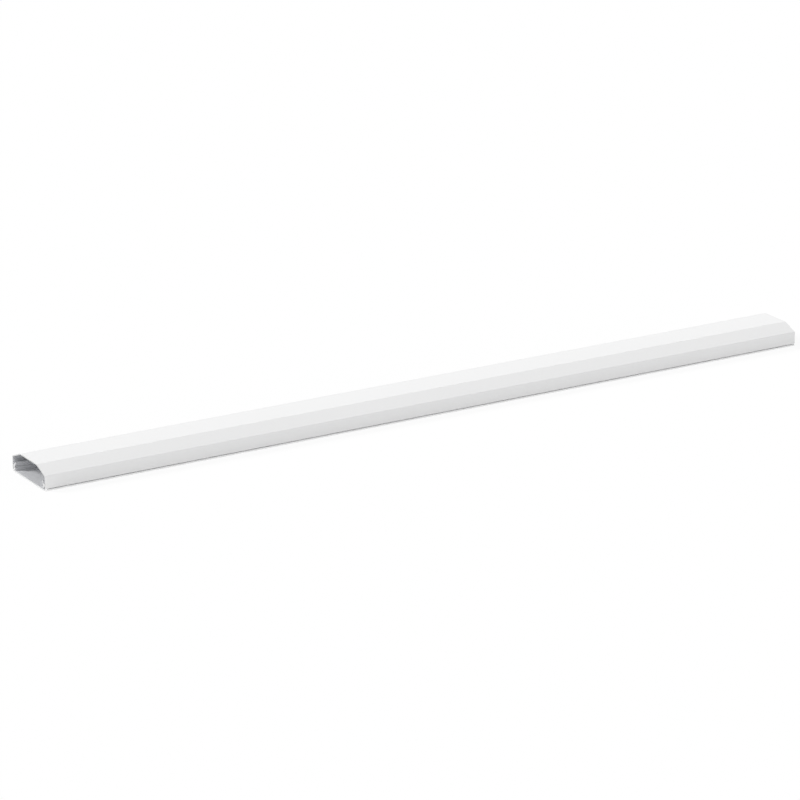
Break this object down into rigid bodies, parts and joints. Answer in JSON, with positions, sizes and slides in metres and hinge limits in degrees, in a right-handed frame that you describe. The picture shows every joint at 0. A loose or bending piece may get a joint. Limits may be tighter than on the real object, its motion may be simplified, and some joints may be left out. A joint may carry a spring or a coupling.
{
  "type": "cord cover raceway",
  "caption": "Long white cable raceway: a flat wall base with snap legs carries a bevelled clip-on cover that hides cords between it and the wall.",
  "frame": {"origin": "middle of the base's underside, the face that goes against the wall", "axes": "+X along the raceway, +Y across it, +Z out of the wall towards the cover's flat top"},
  "size_m": [0.75, 0.06, 0.019],
  "materials": {
    "base_metal": "extruded aluminium, bare inside, white coat on the outer edges",
    "cover_metal": "extruded aluminium, satin white coat outside, bare inside"
  },
  "bodies": {
    "root": {"base": "base_metal", "cover": "cover_metal"}
  },
  "joints": []
}
